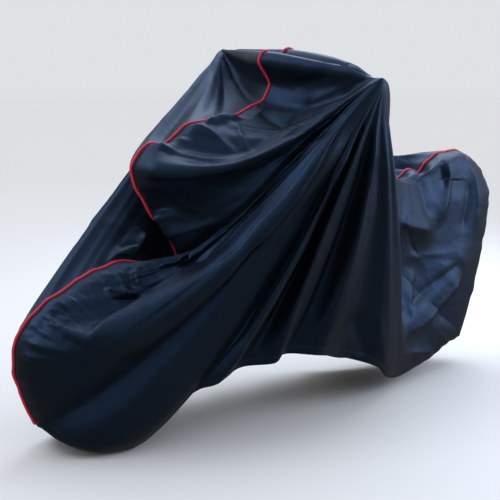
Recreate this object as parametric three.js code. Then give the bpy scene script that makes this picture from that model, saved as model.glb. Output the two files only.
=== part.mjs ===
import * as THREE from "three";

// Motorcycle cover of coated polyester in its draped shape.
// Two side panels meet at piping on one centre seam, which runs from the front hem to the rear hem.
// Lengths are in millimetres. +X points to the tail, -Y to the left side and +Z up.
// Table heights are above the ground. The whole cover is then lowered, so that the origin is its mount.

// Driving dimensions
const SHEET_THICKNESS = 2;
const PIPING_RADIUS = 5;
const PIPING_SIDES = 8;
const PIECE_GAP = 0.3;
const MOUNT_X = -50;
const MOUNT_HEIGHT = 1185;

// Cloth close to a peak: rounded tip, and shares of the way to the rim where its folds begin
const PEAK_CAP_DEPTH = 9;
const PEAK_CAP_DROP = 4.5;
const PEAK_CAP_SHARE = 0.05;
const PEAK_EASE = 0.33;
const SOFT_RIM_ROWS = 5;
const SOFT_RIM_REACH = 0.3;

// Swell beside the rim: how late it begins, how sharply it rounds over to the rim, and its tallest value
const SWELL_START = 2;
const SWELL_ROUNDING = 6;
const SWELL_TALLEST = 0.66;

// Mesh steps: columns between two rows of a rim table, and rings from a peak to the rim
const STEPS_PER_ROW = 2;
const RING_COUNT = 14;
const RING_CROWDING = 0.4;
const NORMAL_PASSES = 8;

// Finish
const CLOTH_COLOUR = 0x20262f;
const CLOTH_ROUGHNESS = 0.5;
const PIPING_COLOUR = 0xb3262f;
const PIPING_ROUGHNESS = 0.55;

const table = (columns, rows) =>
  rows.map((row) => Object.fromEntries(columns.map((column, index) => [column, row[index]])));

// Centre seam from the front hem over the top to the rear hem, at y = 0
const SEAM = table(["name", "x", "z"], [
  ["front hem", -945, 122],
  ["lobe low", -985, 215],
  ["lobe front", -1006, 340],
  ["lobe top", -955, 438],
  ["crown front", -854, 505],
  ["crown", -725, 562],
  ["crown back", -617, 573],
  ["pocket", -490, 540],
  ["pocket back", -448, 592],
  ["chin", -535, 715],
  ["nose low", -583, 790],
  ["nose tip", -603, 865],
  ["brow", -557, 924],
  ["brow dip", -480, 935],
  ["bowl front", -393, 990],
  ["bowl", -250, 1007],
  ["bowl back", -180, 1028],
  ["bar foot", -108, 1064],
  ["bar face", -77, 1118],
  ["bar brow", -122, 1185],
  ["bar front", -100, 1217],
  ["channel", -50, 1198],
  ["bar back", 5, 1228],
  ["bar drop", 85, 1150],
  ["neck", 200, 960],
  ["saddle front", 340, 815],
  ["saddle", 480, 760],
  ["tail rise", 600, 803],
  ["tail top", 740, 856],
  ["tail crest", 855, 851],
  ["tail back", 950, 783],
  ["tail end", 1002, 655],
  ["rear low", 934, 340],
  ["rear hem", 852, 120],
]);

// Hem of the left panel from the rear corner to the front corner: ridges and valleys of its folds
const LEFT_HEM = table(["name", "x", "y", "z"], [
  ["rear side", 745, -78, 112],
  ["rear under", 640, -100, 84],
  ["rear front", 515, -122, 72],
  ["curtain corner", 392, -150, 66],
  ["curtain edge", 284, -202, 99],
  ["ridge 1", 205, -232, 157],
  ["valley 1", 60, -222, 211],
  ["ridge 2", -80, -258, 248],
  ["valley 2", -175, -210, 257],
  ["ridge 3", -250, -252, 248],
  ["valley 3", -345, -200, 238],
  ["ridge 4", -455, -236, 214],
  ["valley 4", -530, -192, 182],
  ["lobe heel", -672, -138, 45],
  ["lobe under", -755, -126, 33],
  ["lobe sole", -832, -110, 44],
  ["lobe toe", -900, -72, 78],
]);

// Hem of the right panel, plainer
const RIGHT_HEM = table(["name", "x", "y", "z"], [
  ["rear side", 745, 85, 110],
  ["rear under", 640, 105, 80],
  ["rear front", 515, 120, 76],
  ["curtain corner", 380, 150, 70],
  ["curtain edge", 270, 205, 110],
  ["valley 1", 190, 185, 165],
  ["ridge 1", 100, 240, 205],
  ["valley 2", 0, 200, 230],
  ["ridge 2", -95, 255, 246],
  ["valley 3", -195, 200, 256],
  ["ridge 3", -300, 240, 248],
  ["valley 4", -400, 190, 232],
  ["ridge 4", -500, 195, 185],
  ["lobe heel", -602, 150, 66],
  ["lobe under", -702, 130, 36],
  ["lobe sole", -808, 115, 40],
  ["lobe toe", -895, 75, 76],
]);

// Drape from a peak to a place on the rim: how far the cloth sags, bows to the tail and tucks in on the way,
// how far it stands out beside the rim, and the share of the way where it sags most
const DRAPE_COLUMNS = ["rim", "sag", "aft", "tuck", "out", "share"];
const LEFT_DRAPE = table(DRAPE_COLUMNS, [
  ["front hem", 120, 0, 6, 60, 0.52],
  ["lobe low", 135, 0, -18, 85, 0.5],
  ["lobe front", 172, 0, 16, 90, 0.5],
  ["lobe top", 190, 0, 37, 62, 0.54],
  ["crown front", 165, 0, 45, 50, 0.56],
  ["crown", 145, 0, 22, 40, 0.6],
  ["crown back", 85, 0, 5, 35, 0.62],
  ["pocket", 40, 0, 0, 30, 0.66],
  ["pocket back", 10, 0, -10, 35, 0.68],
  ["chin", 33, 0, -13, 55, 0.5],
  ["nose low", 64, 0, -5, 70, 0.5],
  ["nose tip", 93, 0, -6, 75, 0.55],
  ["brow", 115, 0, 25, 60, 0.55],
  ["bowl front", 100, 0, 50, 30, 0.5],
  ["bowl", 80, 0, 40, 15, 0.5],
  ["bar foot", 50, 0, 20, 0, 0.5],
  ["bar face", 25, 0, 0, 0, 0.5],
  ["bar front", -6, 0, 0, 0, 0.5],
  ["channel", 6, 0, 0, 0, 0.5],
  ["bar back", -13, 0, 0, 0, 0.55],
  ["bar drop", 20, 0, 0, 0, 0.5],
  ["neck", 70, 0, 40, 20, 0.45],
  ["saddle", 155, 0, 105, 45, 0.42],
  ["tail top", 195, 0, 135, 70, 0.4],
  ["tail back", 230, 0, 150, 70, 0.38],
  ["tail end", 240, 0, 150, 70, 0.36],
  ["rear low", 230, 0, 150, 75, 0.36],
  ["rear hem", 215, 0, 150, 84, 0.36],
  ["rear side", 195, 0, 145, 44, 0.37],
  ["rear under", 155, 0, 132, 20, 0.39],
  ["rear front", 90, 0, 105, 10, 0.42],
  ["curtain corner", 0, 5, -28, 10, 0.5],
  ["curtain edge", 0, 10, -10, 20, 0.5],
  ["ridge 1", 0, 22, -8, 10, 0.55],
  ["valley 1", 0, 40, 2, 10, 0.55],
  ["ridge 2", 0, 45, -14, 10, 0.55],
  ["valley 2", 0, 55, 30, 10, 0.56],
  ["ridge 3", 0, 5, -14, 10, 0.58],
  ["valley 3", 0, 45, 32, 10, 0.6],
  ["ridge 4", 0, 25, -6, 18, 0.62],
  ["valley 4", 25, 40, 20, 30, 0.62],
  ["lobe heel", 38, 44, 10, 40, 0.62],
  ["lobe under", 85, 24, 18, 58, 0.58],
  ["lobe sole", 100, 10, 24, 62, 0.54],
  ["lobe toe", 110, 0, 14, 62, 0.52],
]);
const RIGHT_DRAPE = table(DRAPE_COLUMNS, [
  ["front hem", 30, 0, 0, 55, 0.5],
  ["lobe front", 5, 0, 0, 45, 0.5],
  ["lobe top", 5, 0, 0, 32, 0.5],
  ["crown front", 5, 0, 0, 18, 0.5],
  ["crown back", 15, 0, 5, 5, 0.5],
  ["pocket back", 30, 0, 10, 5, 0.5],
  ["chin", 20, 0, 5, 15, 0.5],
  ["nose tip", 5, 0, 0, 40, 0.5],
  ["brow", 5, 0, 0, 30, 0.5],
  ["bowl front", 35, 0, 10, 15, 0.5],
  ["bowl", 60, 0, 15, 10, 0.5],
  ["bar foot", 60, 0, 20, 0, 0.5],
  ["bar face", 30, 0, 0, 0, 0.5],
  ["bar front", 0, 0, 0, 0, 0.5],
  ["channel", 10, 0, 0, 0, 0.5],
  ["bar back", 0, 0, 0, 0, 0.5],
  ["bar drop", 20, 0, 0, 0, 0.5],
  ["neck", 70, 0, 40, 20, 0.45],
  ["saddle", 145, 0, 75, 45, 0.42],
  ["tail top", 145, 0, 95, 50, 0.42],
  ["tail back", 175, 0, 105, 60, 0.41],
  ["tail end", 195, 0, 110, 68, 0.39],
  ["rear low", 200, 0, 110, 75, 0.38],
  ["rear hem", 190, 0, 110, 80, 0.38],
  ["rear under", 130, 0, 100, 50, 0.4],
  ["rear front", 60, 20, 65, 30, 0.45],
  ["curtain corner", 0, 30, -20, 10, 0.5],
  ["curtain edge", 0, 30, -10, 20, 0.5],
  ["valley 1", 0, 35, 25, 10, 0.55],
  ["ridge 1", 0, 40, -5, 10, 0.55],
  ["valley 2", 0, 40, 30, 10, 0.55],
  ["ridge 2", 0, 35, -5, 10, 0.55],
  ["valley 3", 0, 35, 30, 10, 0.55],
  ["ridge 3", 0, 40, 0, 10, 0.6],
  ["valley 4", 0, 50, 25, 15, 0.6],
  ["ridge 4", 20, 50, 0, 25, 0.6],
  ["lobe under", 50, 20, 0, 55, 0.55],
  ["lobe toe", 50, 0, 0, 60, 0.52],
]);

// Folds that don't run from a peak, as seen from the side: from one point to another, half width and height
const FOLDS = table(["name", "x1", "z1", "x2", "z2", "width", "height"], [
  ["saddle shelf", 370, 640, 560, 590, 55, 20],
  ["tail slash", 760, 450, 411, 230, 60, 22],
]);
const FOLD_RIM_FADE = 6;

const LEFT = { sign: -1, peak: [40, -425, 1134], hem: LEFT_HEM, drape: LEFT_DRAPE };
const RIGHT = { sign: 1, peak: [-32, 356, 1241], hem: RIGHT_HEM, drape: RIGHT_DRAPE };

const seamPoints = SEAM.map((row) => new THREE.Vector3(row.x, 0, row.z));

// Point on a smooth curve through the points, at a place counted in points
function pointAt(points, place) {
  const start = Math.min(Math.floor(place), points.length - 2);
  const first = points[start];
  const second = points[start + 1];
  const before = points[start - 1] ?? first.clone().multiplyScalar(2).sub(second);
  const after = points[start + 2] ?? second.clone().multiplyScalar(2).sub(first);
  const along = (axis) => catmullRom(place - start, before[axis], first[axis], second[axis], after[axis]);
  return new THREE.Vector3(along("x"), along("y"), along("z"));
}

function catmullRom(t, before, first, second, after) {
  const slopeIn = (second - before) / 2;
  const slopeOut = (after - first) / 2;
  const cubic = 2 * first - 2 * second + slopeIn + slopeOut;
  const square = -3 * first + 3 * second - 2 * slopeIn - slopeOut;
  return cubic * t ** 3 + square * t ** 2 + slopeIn * t + first;
}

function sampleCurve(points, firstPlace) {
  const samples = [];
  for (let step = 0; step < (points.length - 1) * STEPS_PER_ROW; step += 1) {
    const place = step / STEPS_PER_ROW;
    samples.push({ point: pointAt(points, place), place: firstPlace + place });
  }
  return samples;
}

// Rim of a panel: up the seam from front to rear, then along its hem back to the front
function rimOf(side) {
  const edge = side.sign * (PIPING_RADIUS + PIECE_GAP);
  const seamEdge = seamPoints.map((point) => point.clone().setY(edge));
  const hemPoints = side.hem.map((row) => new THREE.Vector3(row.x, row.y, row.z));
  const hemLine = [seamEdge.at(-1), ...hemPoints, seamEdge[0]];
  return [...sampleCurve(seamEdge, 0), ...sampleCurve(hemLine, seamEdge.length - 1)];
}

// The rim with its bends evened out, which the cloth follows close to the peak
function softRimOf(side, rim) {
  const rowCount = SEAM.length + side.hem.length;
  return rim.map(({ place }) => {
    const sum = new THREE.Vector3();
    let total = 0;
    for (const other of rim) {
      const apart = Math.abs(other.place - place);
      const weight = Math.exp(-((Math.min(apart, rowCount - apart) / SOFT_RIM_ROWS) ** 2));
      sum.addScaledVector(other.point, weight);
      total += weight;
    }
    return sum.divideScalar(total);
  });
}

// Drape rows in order round the rim, with the last row again before the first and the first two after the last
function drapeRows(side) {
  const names = [...SEAM, ...side.hem].map((row) => row.name);
  const rows = side.drape.map((row) => ({ ...row, place: names.indexOf(row.rim) }));
  const shifted = (row, turns) => ({ ...row, place: row.place + turns * names.length });
  return [shifted(rows.at(-1), -1), ...rows, shifted(rows[0], 1), shifted(rows[1], 1)];
}

// Slope of a drape column at a row: level at a ridge or a valley, else between the slopes on both sides
function drapeSlope(rows, index, column) {
  const slopeBetween = (first, second) => (second[column] - first[column]) / (second.place - first.place);
  const before = slopeBetween(rows[index - 1], rows[index]);
  const after = slopeBetween(rows[index], rows[index + 1]);
  return before * after > 0 ? (2 * before * after) / (before + after) : 0;
}

// Drape values at a place on the rim, smooth through the table rows
function drapeAt(side, place) {
  const rows = drapeRows(side);
  const next = rows.findIndex((row) => row.place > place);
  const before = rows[next - 1];
  const gap = rows[next].place - before.place;
  const share = (place - before.place) / gap;
  const value = (column) => {
    const start = drapeSlope(rows, next - 1, column) * gap;
    const end = drapeSlope(rows, next, column) * gap;
    const climb = rows[next][column] - before[column];
    const square = 3 * climb - 2 * start - end;
    const cubic = start + end - 2 * climb;
    return before[column] + share * (start + share * (square + share * cubic));
  };
  return { sag: value("sag"), aft: value("aft"), tuck: value("tuck"), out: value("out"), share: value("share") };
}

// How far the cross folds lift the sheet at a place in the side view
function foldLift(x, z) {
  let lift = 0;
  for (const fold of FOLDS) {
    const first = new THREE.Vector3(fold.x1, 0, fold.z1);
    const line = new THREE.Line3(first, new THREE.Vector3(fold.x2, 0, fold.z2));
    const here = new THREE.Vector3(x, 0, z);
    const distance = line.closestPointToPoint(here, true, new THREE.Vector3()).distanceTo(here);
    lift += fold.height * Math.exp(-((distance / fold.width) ** 2));
  }
  return lift;
}

// Point of the sheet on the way from the peak (0) to the rim (1)
function sheetPoint(side, rim, softRim, drape, way) {
  const goal = softRim.clone().lerp(rim, THREE.MathUtils.smoothstep(way, 0, SOFT_RIM_REACH));
  const point = new THREE.Vector3(...side.peak).lerp(goal, way);
  const start = THREE.MathUtils.smoothstep(way, 0, PEAK_EASE);
  const sling = start * Math.sin(Math.PI * way ** (Math.log(0.5) / Math.log(drape.share)));
  const beside = (way ** SWELL_START * Math.sqrt(1 - way ** SWELL_ROUNDING)) / SWELL_TALLEST;
  const cap = Math.max(0, 1 - way / PEAK_CAP_SHARE) ** 2;
  point.x += drape.aft * sling;
  point.y += side.sign * (drape.out * beside - drape.tuck * sling - PEAK_CAP_DEPTH * cap);
  point.z -= drape.sag * sling + PEAK_CAP_DROP * cap;
  point.y += side.sign * foldLift(point.x, point.z) * (1 - way ** FOLD_RIM_FADE);
  return point;
}

// Closed thin shell: the outer sheet, the same sheet set in by its thickness, and the rim between them
function panelGeometry(side) {
  const rim = rimOf(side);
  const softRim = softRimOf(side, rim);
  const columns = rim.length;
  const outer = [sheetPoint(side, rim[0].point, softRim[0], drapeAt(side, 0), 0)];
  for (let ring = 1; ring <= RING_COUNT; ring += 1) {
    const step = ring / RING_COUNT;
    const way = step * (1 + RING_CROWDING - RING_CROWDING * step);
    rim.forEach(({ point, place }, column) => {
      outer.push(sheetPoint(side, point, softRim[column], drapeAt(side, place), Math.min(way, 1)));
    });
  }
  const at = (ring, column) => (ring === 0 ? 0 : 1 + (ring - 1) * columns + (column % columns));
  const faces = [];
  for (let ring = 0; ring < RING_COUNT; ring += 1) {
    for (let column = 0; column < columns; column += 1) {
      if (ring > 0) {
        faces.push([at(ring, column), at(ring + 1, column), at(ring, column + 1)]);
      }
      faces.push([at(ring, column + 1), at(ring + 1, column), at(ring + 1, column + 1)]);
    }
  }
  return shellGeometry(side, outer, faces, columns);
}

function geometryFrom(points, faces) {
  const geometry = new THREE.BufferGeometry();
  const coordinates = points.flatMap((point) => point.toArray());
  geometry.setAttribute("position", new THREE.Float32BufferAttribute(coordinates, 3));
  geometry.setIndex(faces.flat());
  geometry.computeVertexNormals();
  return geometry;
}

// Outward directions that turn gently over a sharp fold, so that the inner sheet never crosses the outer one
function softNormals(points, faces) {
  const sharp = geometryFrom(points, faces).getAttribute("normal");
  let normals = points.map((_, index) => new THREE.Vector3().fromBufferAttribute(sharp, index));
  for (let pass = 0; pass < NORMAL_PASSES; pass += 1) {
    const sums = points.map(() => new THREE.Vector3());
    for (const face of faces) {
      for (const index of face) {
        face.forEach((corner) => sums[index].add(normals[corner]));
      }
    }
    normals = sums.map((sum) => sum.normalize());
  }
  return normals;
}

function shellGeometry(side, outer, sheetFaces, columns) {
  const turned = ([first, second, third]) => [first, third, second];
  const outerFaces = side.sign < 0 ? sheetFaces.map(turned) : sheetFaces;
  const normals = softNormals(outer, outerFaces);
  const edge = PIPING_RADIUS + PIECE_GAP;
  const inner = outer.map((point, index) => {
    const moved = point.clone().addScaledVector(normals[index], -SHEET_THICKNESS);
    moved.y = side.sign * Math.max(edge, side.sign * moved.y);
    return moved;
  });
  const offset = outer.length;
  const rimStart = offset - columns;
  const innerFaces = outerFaces.map((face) => turned(face).map((index) => index + offset));
  const rimFaces = [];
  for (let column = 0; column < columns; column += 1) {
    const here = rimStart + column;
    const next = rimStart + ((column + 1) % columns);
    rimFaces.push([here, here + offset, next], [next, here + offset, next + offset]);
  }
  const closing = side.sign < 0 ? rimFaces.map(turned) : rimFaces;
  return geometryFrom([...outer, ...inner], [...outerFaces, ...innerFaces, ...closing]);
}

// Round piping along the centre seam, with flat ends
function pipingGeometry() {
  const centres = sampleCurve(seamPoints, 0).map((sample) => sample.point);
  centres.push(seamPoints.at(-1).clone());
  const points = [];
  centres.forEach((centre, index) => {
    const ahead = centres[Math.min(index + 1, centres.length - 1)];
    const behind = centres[Math.max(index - 1, 0)];
    const tangent = ahead.clone().sub(behind).normalize();
    for (let side = 0; side < PIPING_SIDES; side += 1) {
      const angle = (2 * Math.PI * side) / PIPING_SIDES;
      const lift = PIPING_RADIUS * Math.cos(angle);
      const spread = PIPING_RADIUS * Math.sin(angle);
      points.push(centre.clone().add(new THREE.Vector3(-tangent.z * lift, spread, tangent.x * lift)));
    }
  });
  const at = (ring, side) => ring * PIPING_SIDES + (side % PIPING_SIDES);
  const last = centres.length - 1;
  const faces = [];
  for (let side = 0; side < PIPING_SIDES; side += 1) {
    for (let ring = 0; ring < last; ring += 1) {
      faces.push([at(ring, side), at(ring + 1, side), at(ring, side + 1)]);
      faces.push([at(ring, side + 1), at(ring + 1, side), at(ring + 1, side + 1)]);
    }
  }
  for (let side = 1; side < PIPING_SIDES - 1; side += 1) {
    faces.push([at(0, 0), at(0, side), at(0, side + 1)]);
    faces.push([at(last, 0), at(last, side + 1), at(last, side)]);
  }
  return geometryFrom(points, faces);
}

function namedMesh(name, geometry, colour, roughness) {
  const material = new THREE.MeshStandardMaterial({ color: colour, roughness, metalness: 0 });
  const mesh = new THREE.Mesh(geometry, material);
  mesh.name = name;
  return mesh;
}

const cover = new THREE.Group();
cover.add(namedMesh("panel_left", panelGeometry(LEFT), CLOTH_COLOUR, CLOTH_ROUGHNESS));
cover.add(namedMesh("panel_right", panelGeometry(RIGHT), CLOTH_COLOUR, CLOTH_ROUGHNESS));
cover.add(namedMesh("piping", pipingGeometry(), PIPING_COLOUR, PIPING_ROUGHNESS));
cover.position.set(-MOUNT_X, 0, -MOUNT_HEIGHT);

export default cover;
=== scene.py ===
import math

import bpy
import numpy as np
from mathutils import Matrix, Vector


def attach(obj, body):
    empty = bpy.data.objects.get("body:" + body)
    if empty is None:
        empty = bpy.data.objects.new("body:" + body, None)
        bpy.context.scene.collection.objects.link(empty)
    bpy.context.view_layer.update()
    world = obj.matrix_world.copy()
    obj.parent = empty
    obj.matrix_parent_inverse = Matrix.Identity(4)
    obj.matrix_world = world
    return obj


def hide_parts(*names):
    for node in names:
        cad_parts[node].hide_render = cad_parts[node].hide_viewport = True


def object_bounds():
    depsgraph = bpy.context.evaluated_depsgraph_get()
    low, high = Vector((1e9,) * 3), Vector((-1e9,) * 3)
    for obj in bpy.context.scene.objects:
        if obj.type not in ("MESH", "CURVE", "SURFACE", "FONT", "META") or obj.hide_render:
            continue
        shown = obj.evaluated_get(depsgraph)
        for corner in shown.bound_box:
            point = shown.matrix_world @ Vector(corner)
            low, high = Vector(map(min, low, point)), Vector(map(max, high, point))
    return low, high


bl_info = {
    "name": "Draped motorcycle cover",
    "version": (1, 0, 0),
    "blender": (4, 5, 0),
    "location": "View3D > Sidebar > Cover",
    "description": "Makes the cloth panels, the piping and the studio of a draped motorcycle cover",
    "category": "Add Mesh",
}

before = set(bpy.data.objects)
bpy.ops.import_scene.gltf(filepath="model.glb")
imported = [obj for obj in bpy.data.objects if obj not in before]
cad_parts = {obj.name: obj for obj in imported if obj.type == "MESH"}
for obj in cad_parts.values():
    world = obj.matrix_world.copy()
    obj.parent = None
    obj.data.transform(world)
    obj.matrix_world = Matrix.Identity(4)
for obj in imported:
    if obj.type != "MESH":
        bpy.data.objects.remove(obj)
CAD_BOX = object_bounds()

# Lengths in the tables are millimetres: x to the tail, y to the right side and z above the ground.
# The finished meshes are in metres, with the cover's mount as their origin.
MOUNT = np.array((-50.0, 0.0, 1185.0))
MM = 0.001


def table(columns, *rows):
    """Rows of a table as dictionaries with the named columns."""
    names = columns.split()
    return [dict(zip(names, row)) for row in rows]


# Centre seam from the front hem over the top to the rear hem, at y = 0,
# and how close the mesh columns stand there
SEAM = table(
    "name x z fine",
    ("front hem", -945, 122, 0.9),
    ("lobe low", -985, 215, 0.9),
    ("lobe front", -1006, 340, 1.5),
    ("lobe top", -955, 438, 1.8),
    ("crown front", -854, 505, 1.8),
    ("crown", -725, 562, 1.7),
    ("crown back", -617, 573, 1.5),
    ("pocket", -490, 540, 1.2),
    ("pocket back", -448, 592, 1.1),
    ("chin", -535, 715, 1.0),
    ("nose low", -583, 790, 1.0),
    ("nose tip", -603, 865, 1.3),
    ("brow", -557, 924, 1.5),
    ("brow dip", -480, 935, 1.5),
    ("bowl front", -393, 990, 1.4),
    ("bowl", -250, 1007, 1.3),
    ("bowl back", -180, 1028, 1.2),
    ("bar foot", -108, 1064, 0.9),
    ("bar face", -77, 1118, 0.8),
    ("bar brow", -122, 1185, 0.8),
    ("bar front", -100, 1217, 0.8),
    ("channel", -50, 1198, 0.6),
    ("bar back", 5, 1228, 0.6),
    ("bar drop", 85, 1150, 0.5),
    ("neck", 200, 960, 0.5),
    ("saddle front", 340, 815, 0.6),
    ("saddle", 480, 760, 1.2),
    ("saddle bump", 561, 795, 1.4),
    ("saddle dip", 620, 785, 1.4),
    ("tail rise", 660, 818, 1.5),
    ("tail top", 740, 856, 1.5),
    ("tail crest", 855, 851, 1.5),
    ("tail back", 950, 783, 1.4),
    ("tail end", 1002, 655, 1.3),
    ("rear low", 934, 340, 1.2),
    ("rear hem", 852, 120, 1.0),
)

# Hem of the left panel from the rear corner to the front corner: ridges and valleys of its folds
LEFT_HEM = table(
    "name x y z",
    ("rear side", 745, -42, 112),
    ("rear under", 640, -76, 84),
    ("rear front", 515, -115, 72),
    ("curtain corner", 392, -150, 66),
    ("curtain edge", 284, -202, 99),
    ("ridge 1", 205, -232, 157),
    ("valley 1", 60, -222, 211),
    ("ridge 2", -80, -258, 248),
    ("valley 2", -175, -210, 257),
    ("ridge 3", -250, -252, 248),
    ("valley 3", -345, -200, 238),
    ("ridge 4", -455, -236, 214),
    ("valley 4", -530, -192, 182),
    ("lobe heel", -672, -138, 45),
    ("lobe under", -755, -126, 33),
    ("lobe sole", -832, -110, 44),
    ("lobe toe", -900, -72, 78),
)

# Hem of the right panel, plainer
RIGHT_HEM = table(
    "name x y z",
    ("rear side", 745, 85, 110),
    ("rear under", 640, 105, 80),
    ("rear front", 515, 120, 76),
    ("curtain corner", 380, 150, 70),
    ("curtain edge", 270, 205, 110),
    ("valley 1", 190, 185, 165),
    ("ridge 1", 100, 240, 205),
    ("valley 2", 0, 200, 230),
    ("ridge 2", -95, 255, 246),
    ("valley 3", -195, 200, 256),
    ("ridge 3", -300, 240, 248),
    ("valley 4", -400, 190, 232),
    ("ridge 4", -500, 195, 185),
    ("lobe heel", -602, 150, 66),
    ("lobe under", -702, 130, 36),
    ("lobe sole", -808, 115, 40),
    ("lobe toe", -895, 75, 76),
)

# Drape from a peak to a place on the rim: how far the cloth sags, bows to the tail and tucks in on the way,
# how far it stands out beside the rim, and the share of the way where it sags most
DRAPE = "rim sag aft tuck out share"
LEFT_DRAPE = table(
    DRAPE,
    ("front hem", 120, 0, -6, 60, 0.52),
    ("lobe low", 132, 0, -24, 85, 0.5),
    ("lobe front", 168, 0, 4, 90, 0.5),
    ("lobe top", 192, 0, 42, 62, 0.54),
    ("crown front", 165, 0, 58, 50, 0.56),
    ("crown", 145, 0, 22, 40, 0.6),
    ("crown back", 98, 0, -4, 40, 0.62),
    ("pocket", -15, 0, -45, 60, 0.75),
    ("pocket back", -40, 0, -60, 70, 0.75),
    ("chin", 33, 0, -13, 55, 0.5),
    ("nose low", 64, 0, -5, 70, 0.5),
    ("nose tip", 93, 0, -6, 75, 0.55),
    ("brow", 115, 0, 25, 60, 0.55),
    ("bowl front", 100, 0, 50, 30, 0.5),
    ("bowl", 80, 0, 40, 15, 0.5),
    ("bar foot", 50, 0, 20, 0, 0.5),
    ("bar face", 25, 0, 0, 0, 0.5),
    ("bar front", -6, 0, 0, 0, 0.5),
    ("channel", 6, 0, 0, 0, 0.5),
    ("bar back", -13, 0, 0, 0, 0.55),
    ("bar drop", 20, 0, 0, 0, 0.5),
    ("neck", 70, 0, 40, 20, 0.45),
    ("saddle", 160, 0, 110, 50, 0.44),
    ("tail top", 215, 0, 140, 75, 0.48),
    ("tail back", 230, 0, 150, 70, 0.41),
    ("tail end", 240, 0, 150, 70, 0.36),
    ("rear low", 230, 0, 150, 75, 0.36),
    ("rear hem", 215, 0, 150, 78, 0.36),
    ("rear side", 195, 0, 145, 66, 0.37),
    ("rear under", 155, 0, 132, 40, 0.39),
    ("rear front", 90, 0, 105, 20, 0.42),
    ("curtain corner", 0, 5, -28, 10, 0.5),
    ("curtain edge", 0, 10, -10, 20, 0.5),
    ("ridge 1", 0, 22, -8, 10, 0.55),
    ("valley 1", 0, 40, 2, 10, 0.55),
    ("ridge 2", 0, 45, -14, 10, 0.55),
    ("valley 2", 0, 76, 32, 10, 0.56),
    ("ridge 3", 0, -12, -16, 10, 0.58),
    ("valley 3", 0, 62, 34, 10, 0.6),
    ("ridge 4", 0, 25, -6, 18, 0.62),
    ("valley 4", 25, 40, 20, 30, 0.62),
    ("lobe heel", 38, 44, 10, 40, 0.62),
    ("lobe under", 85, 24, 18, 58, 0.58),
    ("lobe sole", 100, 10, 14, 62, 0.54),
    ("lobe toe", 110, 0, 4, 62, 0.52),
)
RIGHT_DRAPE = table(
    DRAPE,
    ("front hem", 30, 0, 40, 45, 0.55),
    ("lobe front", 0, 0, 12, 40, 0.55),
    ("lobe top", -12, 0, 0, 25, 0.55),
    ("crown front", 0, 0, 5, 14, 0.55),
    ("crown back", 40, 25, 10, 5, 0.55),
    ("pocket back", 65, 45, 15, 5, 0.55),
    ("chin", 45, 40, 10, 15, 0.55),
    ("nose low", 25, 20, 0, 30, 0.5),
    ("nose tip", 5, 0, 0, 40, 0.5),
    ("brow", 5, 0, 0, 30, 0.5),
    ("bowl front", 35, 0, 10, 15, 0.5),
    ("bowl", 60, 0, 15, 10, 0.5),
    ("bar foot", 60, 0, 20, 0, 0.5),
    ("bar face", 30, 0, 0, 0, 0.5),
    ("bar front", 0, 0, 0, 0, 0.5),
    ("channel", 10, 0, 0, 0, 0.5),
    ("bar back", 0, 0, 0, 0, 0.5),
    ("bar drop", 20, 0, 0, 0, 0.5),
    ("neck", 70, 0, 40, 20, 0.45),
    ("saddle", 150, 0, 75, 50, 0.42),
    ("tail top", 180, 0, 100, 70, 0.42),
    ("tail back", 200, 0, 110, 70, 0.4),
    ("tail end", 210, 0, 110, 70, 0.38),
    ("rear low", 200, 0, 110, 75, 0.38),
    ("rear hem", 190, 0, 110, 80, 0.38),
    ("rear under", 130, 0, 100, 50, 0.4),
    ("rear front", 60, 20, 65, 30, 0.45),
    ("curtain corner", 0, 30, -20, 10, 0.5),
    ("curtain edge", 0, 30, -10, 20, 0.5),
    ("valley 1", 0, 35, 25, 10, 0.55),
    ("ridge 1", 0, 40, -5, 10, 0.55),
    ("valley 2", 0, 40, 30, 10, 0.55),
    ("ridge 2", 0, 35, -5, 10, 0.55),
    ("valley 3", 0, 35, 30, 10, 0.55),
    ("ridge 3", 0, 40, 0, 10, 0.6),
    ("valley 4", 0, 50, 25, 15, 0.6),
    ("ridge 4", 20, 50, 20, 25, 0.6),
    ("lobe under", 50, 20, 45, 45, 0.56),
    ("lobe toe", 50, 0, 55, 45, 0.55),
)

# Broad folds that don't run from a peak, as seen from the side: from one point to another,
# half width and height, and the power of the way to the rim by which they die out
CROSS_FOLDS = table(
    "name x1 z1 x2 z2 width height",
    ("saddle shelf", 370, 640, 560, 590, 55, 20),
    ("tail slash", 760, 450, 411, 230, 60, 22),
)
FOLD_RIM_FADE = 6

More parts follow.
